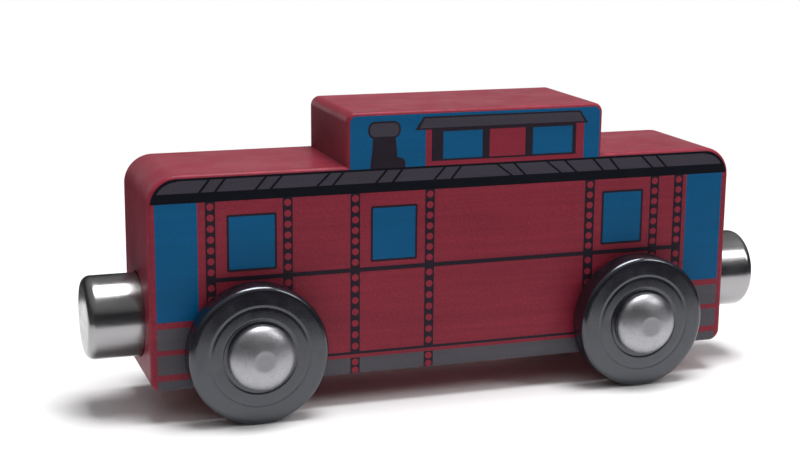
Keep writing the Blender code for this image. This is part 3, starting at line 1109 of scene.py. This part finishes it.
def make_sky(settings):
    """Soft light from above, dimmer near the horizon, which is seen as plain white."""
    world = bpy.data.worlds.new("studio")
    world.use_nodes = True
    sky = NodeKit(world.node_tree)
    height = sky.part(sky.add("ShaderNodeTexCoord").outputs["Generated"], "Z")
    light = sky.spread(height, *SKY_RISE, settings.sky_low, settings.sky_high, "SMOOTHSTEP")
    level = sky.spread(height, *SKY_WHITE, 1.0, 0.0)
    share = sky.calculate("MULTIPLY", sky.seen(), level)
    mixed = sky.add("ShaderNodeMix", Factor=share, A=light, B=1.0)
    background = sky.nodes["Background"]
    sky.join(mixed.outputs["Result"], background.inputs["Strength"])
    sky.join(WHITE, background.inputs["Color"])
    bpy.context.scene.world = world


def make_lamps(settings):
    """Soft lamps that face the toy."""
    for name, width, height, place, gloss in LAMPS:
        data = bpy.data.lights.new(name, "AREA")
        data.shape = "ELLIPSE"
        data.energy = getattr(settings, name + "_power")
        data.size = width
        data.size_y = height
        lamp = new_object(name, data)
        lamp.visible_glossy = gloss
        lamp.location = place
        lamp.rotation_euler = (LAMP_AIM - Vector(place)).to_track_quat("-Z", "Y").to_euler()


def make_camera(settings):
    """The camera, at the place and turn that fit the toy's straight edges."""
    data = bpy.data.cameras.new("camera")
    data.lens = settings.lens
    data.sensor_width = 36.0
    data.clip_start = 0.01
    data.clip_end = 20.0
    camera = new_object("camera", data)
    azimuth, elevation, roll = (math.radians(angle) for angle in CAMERA_TURN)
    back = Vector((
        math.sin(azimuth) * math.cos(elevation),
        -math.cos(azimuth) * math.cos(elevation),
        math.sin(elevation),
    ))
    level = Vector((math.cos(azimuth), math.sin(azimuth), 0))
    above = back.cross(level)
    right = level * math.cos(roll) + above * math.sin(roll)
    up = above * math.cos(roll) - level * math.sin(roll)
    turn = Matrix((right, up, back)).transposed().to_4x4()
    camera.matrix_world = Matrix.Translation(CAMERA_PLACE) @ turn
    bpy.context.scene.camera = camera


class CABOOSE_OT_board(bpy.types.Operator):
    """Make the painted board"""

    bl_idname = "caboose.board"
    bl_label = "Painted board"

    def execute(self, context):
        settings = context.scene.caboose_board
        dress(make_board(settings), board_paint(settings), "body", "red_painted_wood", "body_block")
        return {"FINISHED"}


class CABOOSE_OT_print(bpy.types.Operator):
    """Print both sides of the board"""

    bl_idname = "caboose.print"
    bl_label = "Printed sides"

    def execute(self, context):
        settings = context.scene.caboose_print
        blue, outlines, grey, black, steps, lines, red = map(InkSheet, SHEETS)
        print_panels(blue, outlines, settings.window_line / MM)
        print_roof(grey, black)
        print_lower(steps, lines)
        print_cupola(grey, lines, red)
        line_ink = ink("line_ink", settings.line)
        blue.printed(ink("blue_ink", settings.blue))
        outlines.printed(line_ink)
        grey.printed(ink("roof_grey_ink", settings.roof_grey))
        black.printed(ink("black_ink", settings.black))
        steps.printed(ink("step_grey_ink", settings.step_grey))
        lines.printed(line_ink)
        red.printed(ink("red_ink", context.scene.caboose_board.red))
        return {"FINISHED"}


class CABOOSE_OT_rivets(bpy.types.Operator):
    """Print the rivets along the strips"""

    bl_idname = "caboose.rivets"
    bl_label = "Printed rivets"

    def execute(self, context):
        settings = context.scene.caboose_print
        material = ink("rivet_ink", shade(context.scene.caboose_board.red, 1.1))
        tree = rivet_tree()
        for name, low, high, pitch, rings in RIVET_ROWS:
            rivets = rivet_rows(
                "print_rivets_" + name, tree, low, high, Pitch=pitch * MM * PITCH_SHARE,
                Radius=settings.rivet_radius, Thickness=INK_DETAIL + INK_ROOT,
                Sides=settings.rivet_sides, Rings=rings, Material=material)
            dress(rivets, material, "body", "red_painted_wood")
        return {"FINISHED"}


class CABOOSE_OT_wheels(bpy.types.Operator):
    """Make the moulded wheels"""

    bl_idname = "caboose.wheels"
    bl_label = "Wheels"

    def execute(self, context):
        make_wheels(context.scene.caboose_wheels)
        return {"FINISHED"}


class CABOOSE_OT_caps(bpy.types.Operator):
    """Make the domed axle caps"""

    bl_idname = "caboose.caps"
    bl_label = "Axle caps"

    def execute(self, context):
        make_caps(context.scene.caboose_metal, context.scene.caboose_wheels.turns)
        return {"FINISHED"}


class CABOOSE_OT_axles(bpy.types.Operator):
    """Give the axles their steel"""

    bl_idname = "caboose.axles"
    bl_label = "Axles"

    def execute(self, context):
        steel = drawn_steel(context.scene.caboose_metal.steel)
        for end, _ in ENDS:
            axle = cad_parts["axle_" + end]
            axle.data.materials.clear()
            axle.data.materials.append(steel)
        return {"FINISHED"}


class CABOOSE_OT_magnets(bpy.types.Operator):
    """Make the coupling magnets"""

    bl_idname = "caboose.magnets"
    bl_label = "Coupling magnets"

    def execute(self, context):
        make_magnets(context.scene.caboose_metal, context.scene.caboose_wheels.turns)
        return {"FINISHED"}


class CABOOSE_OT_stage(bpy.types.Operator):
    """Set the floor, the lamps and the camera"""

    bl_idname = "caboose.stage"
    bl_label = "Stage"

    def execute(self, context):
        settings = context.scene.caboose_stage
        context.scene.view_settings.view_transform = "Standard"
        for make in (make_floor, make_cards, make_sky, make_lamps, make_camera):
            make(settings)
        return {"FINISHED"}


class CABOOSE_PT_panel(bpy.types.Panel):
    """The toy caboose's steps and sizes."""

    bl_label = "Toy Caboose"
    bl_idname = "CABOOSE_PT_panel"
    bl_space_type = "VIEW_3D"
    bl_region_type = "UI"
    bl_category = "Caboose"

    def draw(self, context):
        for operator in OPERATORS:
            self.layout.operator(operator.bl_idname)
        for name, group in GROUPS.items():
            box = self.layout.box()
            box.label(text=group.__doc__)
            for setting in group.__annotations__:
                box.prop(getattr(context.scene, name), setting)


GROUPS = {
    "caboose_board": CabooseBoard,
    "caboose_print": CaboosePrint,
    "caboose_wheels": CabooseWheels,
    "caboose_metal": CabooseMetal,
    "caboose_stage": CabooseStage,
}
OPERATORS = (
    CABOOSE_OT_board,
    CABOOSE_OT_print,
    CABOOSE_OT_rivets,
    CABOOSE_OT_wheels,
    CABOOSE_OT_caps,
    CABOOSE_OT_axles,
    CABOOSE_OT_magnets,
    CABOOSE_OT_stage,
)
CLASSES = (*GROUPS.values(), *OPERATORS, CABOOSE_PT_panel)


def register():
    """Register the settings, the operators and the panel."""
    for item in CLASSES:
        bpy.utils.register_class(item)
    for name, group in GROUPS.items():
        setattr(bpy.types.Scene, name, PointerProperty(type=group))


def unregister():
    """Take everything out again."""
    for name in GROUPS:
        delattr(bpy.types.Scene, name)
    for item in reversed(CLASSES):
        bpy.utils.unregister_class(item)


def main():
    """Make every piece and the stage."""
    register()
    bpy.ops.caboose.board()
    bpy.ops.caboose.print()
    bpy.ops.caboose.rivets()
    bpy.ops.caboose.wheels()
    bpy.ops.caboose.caps()
    bpy.ops.caboose.axles()
    bpy.ops.caboose.magnets()
    bpy.ops.caboose.stage()


if __name__ == "__main__":
    main()
